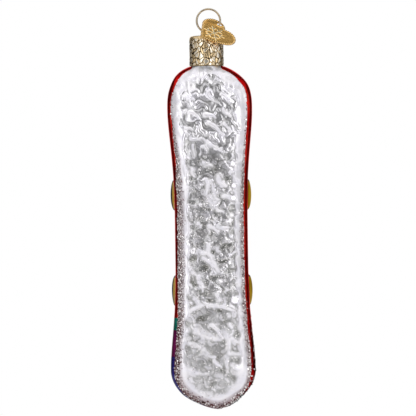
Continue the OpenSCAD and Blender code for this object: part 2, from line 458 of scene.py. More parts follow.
border_left = (3.3 + 0.8 * past(12, 16) - 0.3 * past(78, 12)) * mm
border_right = (4.4 - 0.8 * past(15, 45) + 0.5 * past(76, 14)) * mm
border_wave = 0.26 * mm
border = np.where(at_left, border_left, border_right)
border = border + border_wave * ripple(S, 0.2 * S, 8 * mm)
panel_top = 2.2 * mm
panel_end = 110.5 * mm
panel_corner = 10 * mm
shoulders_s = 9 * mm
to_side = half_width(np.clip(S, shoulders_s, tail_s)) - border - np.abs(flat_x)
to_end = np.minimum(S - panel_top, panel_end - S)
short_side = np.maximum(panel_corner - to_side, 0)
short_end = np.maximum(panel_corner - to_end, 0)
inward = panel_corner - np.hypot(short_side, short_end)

edge_w = (1.1 + 1.7 * (1 - past(5, 16)) + 2.7 * past(92, 10)) * mm
edge_w = edge_w * (1 + 0.3 * ripple(S, 0.1 * S, 7 * mm) * (S < 90 * mm))
nose_wave = 1.1 * mm
fine_wave = 0.3 * mm
ragged = inward + nose_wave * ripple(flat_x, S, 7 * mm) * (1 - past(10, 20))
ragged = ragged + fine_wave * ripple(flat_x, S, 4 * mm)
panel = smooth(ragged / edge_w) * on_back

lip_w = 0.8 * mm
lip_out = 0.1 * mm
lip_rise = np.where(at_left, 0.35, 0.55) * mm
on_long_side = past(16, 12) * before(98, 10)
blobs = np.clip(0.1 + 1.1 * ripple(S, flat_x, 5 * mm), 0, 1) * np.where(at_left, 0.4, 1.0)
lip_share = np.exp(-((to_side + lip_out) / lip_w) ** 2) * on_back * on_long_side * blobs
lip = lip_rise * lip_share
print("panel", round((panel_end - panel_top) / mm), "mm long")

# %% [markdown]
# ## Crumpled facets
# The panel looks like crumpled foil near the nose: puffed facets that slant across the board, each
# tipped its own way, with sharp creases between. Further down it is lumpy and softer. Plain noise
# has no creases, so the facets are cells round scattered seeds, stretched along the slant. A few
# passes of softening round off the creases that the glass would not take so sharp.

# %% Crumpled facets
back = np.s_[:, front_cols:]
back_x = flat_x[back]
back_s = S[back]
wander = 0.8 * mm
wander_size = 4.5 * mm
seed_shift = 0.42
seed_margin = 4 * mm
widest_seed = 16 * mm
crease_w = 0.42


def crumple(heading, along, across, crease, rise, tip):
    """Height of puffed cells that slant by a heading, and their tone, with painted shade along the
    creases.
    """
    c, n = math.cos(math.radians(heading)), math.sin(math.radians(heading))
    x = back_x + wander * ripple(back_x, back_s, wander_size)
    s = back_s + wander * ripple(back_x, back_s, wander_size)
    p, q = (x * c + s * n) / along, (s * c - x * n) / across
    p_seeds = np.arange(np.floor(p.min()) - 1, np.ceil(p.max()) + 2)
    q_seeds = np.arange(np.floor(q.min()) - 1, np.ceil(q.max()) + 2)
    seeds = np.stack(np.meshgrid(p_seeds, q_seeds), -1).reshape(-1, 2)
    seeds = seeds + draw.uniform(-seed_shift, seed_shift, seeds.shape)
    seed_x = seeds[:, 0] * along * c - seeds[:, 1] * across * n
    seed_s = seeds[:, 0] * along * n + seeds[:, 1] * across * c
    on_board = (seed_s > -seed_margin) & (seed_s < board_len + seed_margin)
    seeds = seeds[on_board & (np.abs(seed_x) < widest_seed)]
    first = np.full(p.shape, 1e9)
    second = np.full(p.shape, 1e9)
    owner = np.zeros(p.shape, int)
    reach = 1.7 * max(along, across) + 1.2 * mm
    for k, (seed_p, seed_q) in enumerate(seeds):
        at_s = seed_p * along * n + seed_q * across * c
        rows = slice(*np.searchsorted(rows_s, (at_s - reach, at_s + reach)))
        d = np.hypot(p[rows] - seed_p, q[rows] - seed_q)
        closer = d < first[rows]
        second[rows] = np.where(closer, first[rows], np.minimum(second[rows], d))
        owner[rows] = np.where(closer, k, owner[rows])
        first[rows] = np.where(closer, d, first[rows])
    tips = draw.normal(0, tip, (len(seeds), 2))
    own_rise = draw.uniform(0.6, 1.0, len(seeds)) * rise
    own_tone = draw.uniform(0.1, 1.1, len(seeds))
    room = second - first
    puff = 1 - np.exp(-room / crease)
    lean = tips[owner, 0] * (p - seeds[owner, 0]) * along
    lean = lean + tips[owner, 1] * (q - seeds[owner, 1]) * across
    return puff * (own_rise[owner] + lean), smooth(room / crease_w) * own_tone[owner]


def soften(height, passes):
    """Rounds off sharp creases by sharing each height with its neighbours."""
    for _ in range(passes):
        beside = sum(np.roll(height, step, axis) for step in (-1, 1) for axis in (0, 1))
        height = (2 * height + beside) / 6
    return height


pillows, pillow_shade_tone = crumple(
    heading=33, along=5.0 * mm, across=1.9 * mm, crease=0.5, rise=0.55 * mm, tip=0.06)
lumps, lump_shade_tone = crumple(
    heading=55, along=2.9 * mm, across=2.1 * mm, crease=0.8, rise=0.4 * mm, tip=0.1)
fine, _ = crumple(
    heading=50, along=1.2 * mm, across=1.0 * mm, crease=0.5, rise=0.15 * mm, tip=0.05)
fold = 1 - past(20, 10)
upper = fold[back]
lower = 0.2 * fine + 0.65 * soften(lumps, 5)
facets = np.zeros(S.shape)
facets[back] = upper * soften(pillows, 2) + (1 - upper) * lower
# Tone of each cell: painted shade along its creases, and a random tone of its own.
crease_shade_tone = np.ones(S.shape)
crease_shade_tone[back] = upper * (0.2 + 0.8 * pillow_shade_tone) + (1 - upper) * (0.2 + 0.52 * lump_shade_tone)
print("facets up to", round(facets.max() / mm, 2), "mm")

# %% [markdown]
# ## Strokes on top of the facets
# Round ridges lie over the facets like short strokes of a thick brush: slanted near the nose, worm
# shaped in the middle, long and soft near the tail. The main ones are listed one by one, each at an
# x and s in millimetres with a heading in degrees. Smaller ones are strewn at random between them,
# so many of each kind over a stretch of the board.

# %% Strokes placed one by one
nose_facets = [
    dict(at=(0.2, 10.3), heading=58, reach=1.6, half=1.2, rise=0.6),
    dict(at=(-6.4, 10.8), heading=18, reach=1.1, half=1.1, rise=0.56),
    dict(at=(5.4, 10.8), heading=45, reach=2.0, half=0.9, rise=0.55),
    dict(at=(-5.4, 15.7), heading=20, reach=1.6, half=1.2, rise=0.62),
    dict(at=(0.0, 16.4), heading=20, reach=1.7, half=1.2, rise=0.62),
    dict(at=(5.6, 15.6), heading=42, reach=1.6, half=1.0, rise=0.56),
    dict(at=(2.1, 20.7), heading=38, reach=3.0, half=1.2, rise=0.62),
    dict(at=(5.6, 20.2), heading=62, reach=1.7, half=1.0, rise=0.56),
    dict(at=(-7.0, 20.5), heading=20, reach=1.3, half=1.0, rise=0.58),
    dict(at=(-5.4, 24.0), heading=10, reach=1.2, half=1.1, rise=0.55),
    dict(at=(0.6, 26.2), heading=35, reach=1.8, half=1.1, rise=0.56),
]
middle_ridges = [
    dict(at=(-5.5, 27.9), heading=88, reach=1.8, half=1.0, rise=0.45),
    dict(at=(-0.9, 32.4), heading=27, reach=1.6, half=1.1, rise=0.5),
    dict(at=(-1.2, 40.2), heading=88, reach=2.2, half=1.4, rise=0.55),
    dict(at=(3.5, 38.3), heading=48, reach=1.9, half=1.5, rise=0.62),
    dict(at=(6.4, 43.4), heading=17, reach=2.3, half=1.2, rise=0.6),
    dict(at=(0.5, 44.8), heading=10, reach=0.9, half=1.4, rise=0.52),
    dict(at=(-4.0, 52.2), heading=20, reach=0.5, half=1.3, rise=0.48),
    dict(at=(0.7, 53.7), heading=40, reach=1.9, half=1.0, rise=0.58),
    dict(at=(4.0, 53.1), heading=8, reach=2.0, half=1.0, rise=0.58),
    dict(at=(-0.7, 61.2), heading=80, reach=2.2, half=1.4, rise=0.62),
    dict(at=(1.1, 65.9), heading=45, reach=1.8, half=1.5, rise=0.62),
    dict(at=(2.1, 60.5), heading=60, reach=0.6, half=1.3, rise=0.48),
]
tail_folds = [
    dict(at=(-5.0, 79.3), heading=-16, reach=3.5, half=1.3, rise=0.55),
    dict(at=(3.1, 79.4), heading=14, reach=4.3, half=1.3, rise=0.55),
    dict(at=(-1.3, 88.4), heading=14, reach=4.2, half=2.4, rise=0.52),
    dict(at=(1.2, 86.8), heading=46, reach=2.4, half=1.2, rise=0.6),
    dict(at=(4.8, 91.0), heading=80, reach=3.4, half=1.7, rise=0.48),
    dict(at=(4.6, 97.4), heading=98, reach=2.8, half=1.6, rise=0.44),
    dict(at=(7.2, 90.2), heading=12, reach=1.6, half=1.5, rise=0.48),
    dict(at=(7.0, 94.6), heading=-10, reach=1.8, half=1.5, rise=0.46),
    dict(at=(7.3, 98.9), heading=18, reach=1.4, half=1.6, rise=0.44),
    dict(at=(-1.4, 94.6), heading=34, reach=2.2, half=1.7, rise=0.46),
    dict(at=(1.4, 97.9), heading=50, reach=1.6, half=1.1, rise=0.52),
    dict(at=(-6.0, 91.6), heading=30, reach=2.0, half=1.5, rise=0.44),
    dict(at=(-4.5, 100.5), heading=20, reach=3.0, half=1.7, rise=0.44),
]
placed_strokes = nose_facets + middle_ridges + tail_folds
print(len(placed_strokes), "strokes placed by eye")

# %% Strokes on top of the facets
strewn_kinds = [
    dict(count=20, top=4, end=36, heading=33, spread=30,
         reach=(0.3, 1.0), half=(0.5, 0.9), rise=(0.3, 0.55)),
    dict(count=34, top=33, end=80, heading=55, spread=35,
         reach=(0.1, 0.9), half=(0.8, 1.4), rise=(0.2, 0.46)),
    dict(count=20, top=34, end=80, heading=55, spread=20,
         reach=(0.9, 2.2), half=(0.9, 1.5), rise=(0.44, 0.64)),
    dict(count=150, top=30, end=90, heading=50, spread=60,
         reach=(0.02, 0.1), half=(0.3, 0.5), rise=(0.12, 0.25)),
    dict(count=24, top=80, end=108, heading=10, spread=60,
         reach=(0.1, 0.8), half=(1.0, 1.8), rise=(0.1, 0.3)),
]
strewn_half_w = 11


def stroke_height(x, s, at, heading, reach, half, rise, wave):
    """Height of one wavy round-topped stroke that tapers to one end, 0 outside it."""
    dx, ds = x - at[0], s - at[1]
    along = dx * math.cos(heading) + ds * math.sin(heading)
    across = ds * math.cos(heading) - dx * math.sin(heading)
    across = across - 0.25 * half * np.sin(2.2 * along / reach + wave)
    beyond = np.maximum(np.abs(along) - reach, 0.0)
    half = half * (1.15 - 0.5 * smooth((along / reach + 1) / 2))
    near = np.clip(1 - (beyond ** 2 + across ** 2) / half ** 2, 0.0, 1.0)
    return rise * near ** 2


def lay_stroke(heights, at, heading, reach, half, rise):
    """Raises the heights of the back to a stroke given in millimetres and degrees."""
    span = reach + 2 * half
    first, last = np.searchsorted(rows_s, ((at[1] - span) * mm, (at[1] + span) * mm))
    part = np.s_[first:last, front_cols:]
    turned = math.radians(heading)
    wave = draw.uniform(0, 2 * math.pi)
    new = stroke_height(flat_x[part] / mm, S[part] / mm, at, turned, reach, half, rise, wave)
    heights[part] = np.maximum(heights[part], new * mm)


worms = np.zeros(S.shape)
for kind in strewn_kinds:
    for _ in range(kind["count"]):
        at = draw.uniform((-strewn_half_w, kind["top"]), (strewn_half_w, kind["end"]))
        heading = draw.normal(kind["heading"], kind["spread"])
        reach, half, rise = (draw.uniform(*kind[size]) for size in ("reach", "half", "rise"))
        lay_stroke(worms, at, heading, reach, half, rise)
for stroke in placed_strokes:
    lay_stroke(worms, **stroke)
print("strokes up to", round(worms.max() / mm, 2), "mm")

# %% [markdown]
# ## Height and tone of the back
# Facets, strokes, pits and dents add up to one height, which rises from the floor of the sunk panel.
# A few small flats on the right lip lie just so that they mirror a lamp, and their colour is also
# raised to a painted highlight. The same parts tell the material how bright each point is and how
# frosted: tops get a painted highlight and are matt, while hollows, creases and pits get painted
# shade and are shiny.

# %% Height and tone of the back
recess = 0.4 * mm
full_cover = 0.3 * mm
pit_depth = 0.2 * mm
roll = 0.07 * mm
dent = 0.05 * mm
nose_dent = 0.1 * mm
highlight_height = 0.55 * mm

cover = np.clip(worms / full_cover, 0, 1)
ridges = fold * np.maximum(facets, worms) + (1 - fold) * (facets * (1 - 0.6 * cover) + worms)
pits = smooth(ripple(flat_x, S, 6 * mm) - 0.2) * past(28, 12)
ridges = ridges - pit_depth * pits + roll * ripple(flat_x, S, 9 * mm)
level = (0.08 + 0.14 * past(12, 18)) * mm
sunk = recess * past(12, 18) * (1 - past(90, 12))
near_tail = past(70, 16)
at_nose = 1 - past(6, 8)
dents = dent * ripple(flat_x, S, 7 * mm) + nose_dent * at_nose * ripple(flat_x, S, 3.6 * mm)
dents = dents * on_back * smooth(rim / (3 * mm))
back_lift = panel * ((1 - 0.4 * near_tail) * (ridges - level) - sunk) + lip + dents

glints = [(7.3, 32.2, 1.4), (7.6, 39.5, 1.3), (7.3, 43.5, 1.4), (7.5, 77.1, 2.0)]
glint_rise = 0.15 * mm
glint_hollow = 34
glint = np.zeros(S.shape)
for x, s, r in glints:
    aside = flat_x - x * mm
    own = smooth(2 - 2 * np.hypot(aside, 1.3 * (S - s * mm)) / (r * mm)) * on_back
    back_lift = back_lift * (1 - own) + own * (glint_rise + glint_hollow * aside ** 2)
    glint = np.maximum(glint, own)
# At the glints the colour is also raised to the white of the tops, a painted highlight.
lip_share = np.maximum(lip_share, glint)

# The tops of the strokes get a painted highlight, a little uneven along each stroke.
uneven_worms = worms * (0.85 + 0.15 * ripple(flat_x, S, 2.2 * mm))
worm_top = np.clip(uneven_worms / highlight_height, 0, 1) ** 1.1
# Painted shade: creases and pits darken the colour, and stroke tops and glints get a painted highlight.
painted_light_share = np.where(on_back, np.clip(crease_shade_tone, 0, 1) * (1 - 0.9 * pits), 1.0)
painted_light_share = np.maximum(painted_light_share * (1 - 0.15 * near_tail), np.maximum(worm_top, glint))
worm_frost = 0.5 * worm_top * (1 - 0.3 * near_tail - 0.5 * fold)
panel_frost = 0.3 + 0.05 * (1 - fold) + 0.22 * near_tail + worm_frost
border_frost = 0.42 + 0.3 * lip_share
frost = (panel * panel_frost + (1 - panel) * border_frost) * (1 - 0.8 * glint)
print("ridges from", round(ridges.min() / mm, 2), "to", round(ridges.max() / mm, 2), "mm")

# %% [markdown]
# ## The bindings on the front
# Two bindings are moulded into the front: a base plate, two straps that arch over where a boot
# would be, and a heel cup. They swell past the board's edge, so they show from behind as well.
# They belong to the same glass, so they are lifted out of the same grid.

# %% The bindings on the front
binding_s = (42.3 * mm, 73.7 * mm)
binding_w = 26.8 * mm
binding_h = 10 * mm
base_rise = 1.4 * mm
strap_rise = 1.8 * mm
strap_w = 3.4 * mm
strap_x = (-2.6 * mm, 4.8 * mm)
heel_x = -6.4 * mm
heel_w = 2.6 * mm
heel_rise = 2.8 * mm
pad_edge = 1 * mm
pad_lip = 1.5 * mm

pad_in = np.maximum(*(binding_h / 2 - np.abs(S - b) for b in binding_s))
pad = smooth(pad_in / pad_edge)
arch = np.sqrt(1 - (1 - np.clip(pad_in / (binding_h / 2), 0, 1)) ** 2)
side_lift = smooth(flat_y / pad_lip)
swell = side_lift * arch * (binding_w / 2 / np.maximum(half_width(S), 1 * mm) - 1)
full_x = flat_x * (1 + swell)
strap_off = np.min([np.abs(full_x - at) for at in strap_x], 0)
strap = smooth((strap_w / 2 - strap_off) * 2 / strap_w)
heel = smooth((heel_x - full_x) / heel_w)
print("bindings", round((binding_s[1] - binding_s[0]) / mm, 1), "mm apart")

# %% [markdown]
# ## Rungs, buckles and treads
# Small forms make the bindings read as bindings: a ladder of rungs down each strap, a buckle near
# its middle and a ribbed tread on the plate. Meshes of their own would leave seams that moulded
# glass doesn't have, so each is a wave or a rounded box in the same height.

# %% Rungs, buckles and treads
rung_rise = 0.14 * mm
rung_step = 0.75 * mm
rung_half_w = 0.45 * mm
tread_rise = 0.12 * mm
tread_step = 1.1 * mm
buckle_rise = 0.32 * mm
buckle_at = 1.4 * mm
buckle_half_h = 1.2 * mm
buckle_half_w = 1.35 * mm
buckle_edge = 6

nearest_b = np.where(np.abs(S - binding_s[0]) < np.abs(S - binding_s[1]), *binding_s)
along_strap = S - nearest_b
rungs = np.cos(along_strap / rung_step * 2 * np.pi)
ladder = rung_rise * smooth(2 - np.abs(strap_off) / rung_half_w) * rungs
buckle = smooth(buckle_edge * (1 - np.abs(along_strap - buckle_at) / buckle_half_h))
buckle = buckle * smooth(buckle_edge * (1 - strap_off / buckle_half_w))
tread = tread_rise * np.cos(full_x / tread_step * 2 * np.pi) * (1 - strap) * (1 - heel)
front_lift = pad * base_rise + arch * strap_rise * strap + pad * heel_rise * heel
front_lift = front_lift + pad * (strap > 0.5) * ladder + pad * buckle_rise * buckle + pad * tread

rise_y = np.where(on_back, -back_lift, side_lift * front_lift)
board_y = middle_y(S) + flat_y + rise_y
board_points = np.stack([middle_x(S) + full_x, board_y, shoulder_z - S], -1)
front_y, back_y = board_y.max(), board_y.min()
print("front reaches y", round(front_y / mm, 2), "mm, back", round(back_y / mm, 2), "mm")

# %% [markdown]
# ## The neck, and the whole glass in one mesh
# The neck is a plain tube that the cap hides. It is part of the same blown piece, so its rows are
# joined on above the board's, with its bore as a blind hole for the wire legs.

# %% The neck, and the whole glass in one mesh
neck_r = 5.3 * mm
bore_r = 4.5 * mm
bore_floor = -26 * mm
neck_edge = 0.2 * mm
neck_top = glass_high.z
neck_rings = [
    (bore_r, bore_floor),
    (bore_r, shoulder_z),
    (bore_r, neck_top - neck_edge),
    (bore_r + neck_edge, neck_top),
    (neck_r - neck_edge, neck_top),
    (neck_r, neck_top - neck_edge),
    (neck_r, (neck_top + shoulder_z) / 2),
    (neck_r, shoulder_z),
]
neck = np.array([
    np.stack([neck_x + r * np.cos(angles), r * np.sin(angles), z + 0 * angles], -1)
    for r, z in neck_rings])
grid = np.concatenate([neck, board_points])
tail_tip = [tip_shift, float(middle_y(board_len)), shoulder_z - board_len]
poles = [[neck_x, 0, bore_floor], tail_tip]
board = add_mesh(
    "glass_board_finish", np.vstack([grid.reshape(-1, 3), poles]),
    ring_faces(*grid.shape[:2]), "glass", "silvered_glass")
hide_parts("glass_board")

# %% [markdown]
# ## The red edge
# A decorator dips the silvered glass, then brushes red lacquer over the front and round the edge. On
# the back it shows as a narrow line. An even line would look printed, so its width changes down
# each side as the brush did, with a slow wave on top.

# %% The red edge
red_left = (1.1 + 0.2 * past(10, 12)) * mm
red_right = (1.25 + 0.15 * past(10, 12)) * mm
slim_left = past(30, 10) * before(84, 8)
wide_left = past(0, 5) * before(15, 9)
wide_right = past(80, 8) + 2.2 * past(0, 6) * before(34, 14)
red_left = red_left + (0.45 * wide_left - 0.4 * slim_left) * mm
red_right = red_right + 0.2 * wide_right * mm
brush_wave = 0.08 * mm
thinnest = 0.1 * mm
red_w = np.where(at_left, red_left, red_right) * (1 - 0.7 * past(100, 11))
red_w = red_w + brush_wave * ripple(S, flat_x, 6 * mm) * (red_w > thinnest)
lacquered = rim < red_w
print("red edge up to", round(red_w[on_back].max() / mm, 2), "mm wide")

# %% [markdown]
# ## Where each paint goes
# The decorator then picks out the bindings, three rings of colour at the tail and two snowflakes on
# the front. Each could be an image map, but paint has a sharp edge, so each face of the grid takes
# one paint. A few distances choose it: from the outline, from a binding's edge, from the middle of
# the rings and from a snowflake's lines.

# %% Where each paint goes
ring_at = (-14 * mm, 106.3 * mm)
ring_r = np.hypot(flat_x - ring_at[0], S - ring_at[1])
ring_limits = {"teal": 23.8 * mm, "plum": 19.8 * mm, "navy": 11.0 * mm}
flake_line = 0.42 * mm
paint_overlap = 0.35 * mm
plate_inset = 0.55 * mm
cup_front_y = 3.2 * mm
waist_low = np.where(at_left, 0.95, 1.6) * mm
waist_high = 2.1 * mm


def snowflake(x, y, reach, twigs=((0.42, 0.3), (0.7, 0.2))):
    """Distance from the lines of a six-armed snowflake with pairs of twigs on each arm."""
    turn = np.arctan2(y, x) % (np.pi / 3) - np.pi / 6
    r = np.hypot(x, y)
    p, q = r * np.cos(turn), np.abs(r * np.sin(turn))
    nearest = np.hypot(np.maximum(p - reach, 0), q)
    for start, length in twigs:
        u = (p - start * reach) * 0.5 + q * math.sqrt(0.75)
        on = np.clip(u, 0, length * reach)
        gap = np.hypot(p - start * reach - 0.5 * on, q - math.sqrt(0.75) * on)
        nearest = np.minimum(nearest, gap)
    return nearest


paints = ["silver", "red", "gold", "charcoal", "teal", "plum", "navy", "ice"]
code = {name: k for k, name in enumerate(paints)}
zone = np.where(lacquered, code["red"], code["silver"])
for name, limit in ring_limits.items():
    zone = np.where(lacquered & (ring_r < limit), code[name], zone)
nose_flake = snowflake(flat_x, S - 20 * mm, 7 * mm)
tail_flake = snowflake(flat_x - 4 * mm, S - 92 * mm, 5 * mm)
flake_gap = np.minimum(nose_flake, tail_flake)
zone = np.where(~on_back & (flake_gap < flake_line), code["ice"], zone)

bound = (pad_in > -paint_overlap) & (side_lift > 0.06)
waistline = (flat_y > waist_low) & (flat_y < waist_high)
plate = (pad_in > plate_inset) & (side_lift > 0.1) & ~waistline
strapped = plate & (strap > 0.14)
cup_front = plate & (heel > 0.5) & (flat_y > cup_front_y)
zone = np.where(bound, code["charcoal"], zone)
zone = np.where(plate, code["gold"], zone)
zone = np.where(strapped | cup_front, code["charcoal"], zone)
zone = np.where(strapped & (buckle > 0.5), code["ice"], zone)

neck_zone = np.full(neck.shape[:2], code["silver"])
point_zone = np.concatenate([neck_zone, zone])
cols = point_zone.shape[1]
fans = np.full(2 * cols, code["silver"])
face_zone = np.concatenate([point_zone[:-1].ravel(), fans]).astype(np.int32)
board.data.polygons.foreach_set("material_index", face_zone)
print({name: int((face_zone == k).sum()) for name, k in code.items()})

# %% [markdown]
# ## Helpers for materials
# A material is a small tree of nodes. A few helpers plant the branches that come back in every one
# here: noise of a known size, a value mapped onto a range, a colour between two colours, fine
# bumps, and a number that the mesh keeps on its points. Painted image maps would do as well, but
# nodes stay sharp from any distance.

# %% Helpers for materials
def grain(tree, size, detail=3.0, stretch=(1.0, 1.0, 1.0)):
    """Noise whose lumps are about this size, in metres."""
    where = add_node(tree, "TexCoord", {}).outputs["Object"]
    scaled = add_node(tree, "VectorMath", {0: where, 1: stretch}, operation="MULTIPLY").outputs[0]
    noise = add_node(tree, "TexNoise", {"Vector": scaled, "Scale": 1.0 / size, "Detail": detail})
    return noise.outputs["Fac"]


def spread(tree, value, low, high, start=0.3, end=0.7):
    """Maps a value onto a new range, smoothly."""
    limits = {"From Min": start, "From Max": end, "To Min": low, "To Max": high}
    node = add_node(tree, "MapRange", {"Value": value, **limits}, interpolation_type="SMOOTHSTEP")
    return node.outputs[0]


def blend(tree, share, low, high, way="MIX"):
    """Colour between two colours, each a tuple or another node's output."""
    low, high = ((*c, 1.0) if isinstance(c, tuple) else c for c in (low, high))
    node = add_node(tree, "Mix", {0: share, 6: low, 7: high}, data_type="RGBA", blend_type=way)
    return node.outputs[2]


def mottled(tree, size, low, high, detail=3.0):
    """Colour that wanders between two colours in lumps of about this size."""
    return blend(tree, spread(tree, grain(tree, size, detail), 0, 1), low, high)


def bump(tree, shader, height, distance, strength):
    """Fine surface relief that is too small to model."""
    node = add_node(tree, "Bump", {"Strength": strength, "Distance": distance, "Height": height})
    feed(tree, shader, {"Normal": node.outputs[0]})


def point_value(tree, name):
    """Number that the mesh keeps on its points under this name."""
    return add_node(tree, "Attribute", {}, attribute_name=name).outputs["Fac"]


print("paints to mix:", ", ".join(paints))

# %% [markdown]
# ## Paints and silver
# The silver is a mirror coat under frosted lacquer, with a painted highlight on the ridges and
# painted shade, greyer and slightly olive, in the hollows. It has a fine grain, and is stained
# red-brown where glue lies for the glitter. The colours are clear lacquers over the same mirror, so
# they are metallic with a tint. Each is brushed unevenly, at the size of a brush mark, and the red
# is darker along the right side of the tail.

# %% Paints and silver
def silver_paint():
    """Mirror coat whose colour and frost follow the numbers kept on the board's points."""
    material, tree, shader = new_paint("frosted_silver")
    # Painted highlight: the bright colour of the tops. Painted shade: the grey of hollows, creases and
    # pits.
    tops = mottled(tree, 2.5 * mm, (0.86, 0.84, 0.91), (0.97, 0.945, 0.985))
    hollows = mottled(tree, 4 * mm, (0.15, 0.15, 0.13), (0.44, 0.44, 0.445))
    glue = mottled(tree, 0.4 * mm, (0.05, 0.006, 0.008), (0.28, 0.115, 0.113))
    share = spread(tree, point_value(tree, "light_tone"), 0, 1, -0.05, 0.8)
    metal = blend(tree, share, hollows, tops)
    frost = point_value(tree, "frost")
    feed(tree, shader, {
        "Base Color": blend(tree, point_value(tree, "glue"), metal, glue),
        "Metallic": spread(tree, frost, 0.95, 0.25, 0, 1),
        "Roughness": spread(tree, frost, 0.2, 0.42, 0, 1)})
    bump(tree, shader, grain(tree, 0.22 * mm, 2.0), 0.02 * mm, 0.5)
    return material


def lacquer(name, deep, bright, metallic=0.55, rough=(0.2, 0.34), sheen=0.5):
    """Clear colour over silver, a little thicker here and thinner there, and darker where the board's
    points say so.
    """
    material, tree, shader = new_paint(name)
    share = spread(tree, grain(tree, 3 * mm, 4.0, (1.0, 1.0, 0.35)), 0, 1)
    deepest = tuple(0.4 * c for c in deep)
    coat = blend(tree, point_value(tree, "tail_darkening"), blend(tree, share, deep, bright), deepest)
    feed(tree, shader, {
        "Base Color": coat, "Metallic": metallic, "Specular Tint": coat, "Specular IOR Level": sheen,
        "Roughness": spread(tree, grain(tree, 0.8 * mm), *rough)})
    bump(tree, shader, grain(tree, 1.2 * mm, 2.0), 0.05 * mm, 0.4)
    return material


mixed = [
    silver_paint(),
    lacquer(
        "red_lacquer", (0.42, 0.004, 0.006), (0.86, 0.040, 0.026),
        metallic=0.92, rough=(0.12, 0.24)),
    lacquer(
        "gold_paint", (0.30, 0.17, 0.008), (0.60, 0.38, 0.015),
        metallic=0.3, rough=(0.35, 0.5), sheen=0.2),
    lacquer(
        "charcoal_paint", (0.012, 0.011, 0.010), (0.035, 0.032, 0.028),
        metallic=0.0, rough=(0.5, 0.65), sheen=0.1),
    lacquer("teal_lacquer", (0.004, 0.13, 0.10), (0.01, 0.26, 0.19)),
    lacquer("plum_lacquer", (0.09, 0.006, 0.05), (0.2, 0.012, 0.10)),
    lacquer("navy_lacquer", (0.012, 0.01, 0.09), (0.03, 0.025, 0.2)),
    lacquer("ice_paint", (0.66, 0.70, 0.76), (0.84, 0.86, 0.90), metallic=0.3),
]
for paint in mixed:
    board.data.materials.append(paint)
print(len(board.data.materials), "paints on the board")

# %% [markdown]
# ## What the silver reads from the board
# The silver looks different from place to place. Tops get a painted highlight and hollows painted
# shade, the long sides of the border are darker, the nose is mottled and painted shade darkens the
# glass under the cap. Glue lies in a band inside the red edge, and the red is darker at the tail's
# right side. All this could be painted on by hand, but as numbers on the points it follows the
# shapes that it belongs to.

# %% What the silver reads from the board
band_w = (0.7 + 1.6 * past(10, 40)) * mm * np.where(at_left, 1.15, 0.65)
band_w = np.maximum(band_w, 2.7 * mm * past(103, 6))
glue = np.where(on_back & ~lacquered, np.clip(1 - (rim - red_w) / band_w, 0, 1), 0.0)
glue = glue * past(-2, 40)
at_tail = past(96, 10)
glue_look = glue ** (1 - 0.25 * at_tail)

off_panel = (1 - panel) * on_back
mottle = np.clip(0.5 + 0.6 * ripple(flat_x, S, 3.5 * mm), 0, 1) * (at_nose + 0.2 * near_tail)
# Painted shade darkens the glass just under the cap.
cap_shade = 1 - past(0, 2.8)
# The long sides of the border are darker, except on the lip.
darker_sides = np.where(at_left, 0.33, 0.5) * past(22, 10) * before(104, 10)
silver_light_tone = np.where(panel > 0, 1 - panel * (1 - painted_light_share), 1.0)
silver_light_tone = silver_light_tone * (1 - 0.5 * mottle * off_panel) * (1 - 0.65 * cap_shade)
silver_light_tone = silver_light_tone * (1 - darker_sides * off_panel * np.clip(0.9 - lip_share, 0, 1))
# The red is darker along the right side of the tail.
tail_darkening = past(80, 12) * smooth(1 - np.abs(flat_y + 1.5 * mm) / (6 * mm)) * (flat_x > 0)


def with_neck(values, level):
    """Point values for the whole mesh: one level on the neck, then the board's, then the poles."""
    return np.concatenate([np.full(neck.shape[0] * cols, level), values.ravel(), (level, level)])


looks = {"light_tone": (silver_light_tone, 1.0), "glue": (glue_look, 0.0), "frost": (frost, 0.3), "tail_darkening": (tail_darkening, 0.0)}
for name, (values, level) in looks.items():
    keep_on_points(board, name, with_neck(values, level))
    print(name, "from", round(float(values.min()), 2), "to", round(float(values.max()), 2))

# %% [markdown]
# ## Which way the glass faces
# Glitter lies on the glass, so each flake needs a place on it and the way the glass faces there.
# Both come from the grid. The cross product of a step down it and a step across it is the normal,
# and its length is the area of the cell, so flakes can be strewn evenly by area.

# %% Which way the glass faces
tiny = 1e-12


def unit(vectors):
    """The same vectors with a length of 1."""
    return vectors / np.maximum(np.linalg.norm(vectors, axis=-1, keepdims=True), tiny)


across = np.roll(board_points, -1, 1) - np.roll(board_points, 1, 1)
down = np.gradient(board_points, axis=0)
normals = unit(np.cross(down, across))
outward = np.sign((normals * np.stack([flat_x, flat_y, 0 * S], -1)).sum(-1, keepdims=True))
normals = normals * np.where(outward == 0, 1, outward)
cell_area = np.linalg.norm(np.cross(down, across / 2), axis=-1)


def strew(density, count):
    """Random places on the glass, more of them where the density is higher, with their normals."""
    weight = (density * cell_area).ravel()
    pick = draw.choice(weight.size, count, p=weight / weight.sum())
    i, j = np.unravel_index(pick, density.shape)
    slide = draw.uniform(-0.5, 0.5, (2, count, 1))
    return board_points[i, j] + slide[0] * down[i, j] + slide[1] * across[i, j] / 2, normals[i, j]


print("glass surface", round(cell_area.sum() / mm ** 2), "square mm")

# %% [markdown]
# ## Flakes of glitter
# Glitter is cut from metal film in tiny six-sided flakes. Thousands of small plates at random tilts
# sparkle by themselves, which no bump map does. Each keeps one shade for all its points, from dark
# wine red to white, so that neighbours differ.

# %% Flakes of glitter
flake_sides = 6
flake_points = 2 * flake_sides
flake_t = 0.03 * mm
flake_lift = 0.3


def flake_faces():
    """Faces of one plate: its under side, its top and its sides."""
    faces = [tuple(range(flake_sides))[::-1], tuple(range(flake_sides, flake_points))]
    for k in range(flake_sides):
        after = (k + 1) % flake_sides
        faces.append((k, after, flake_sides + after, flake_sides + k))
    return faces


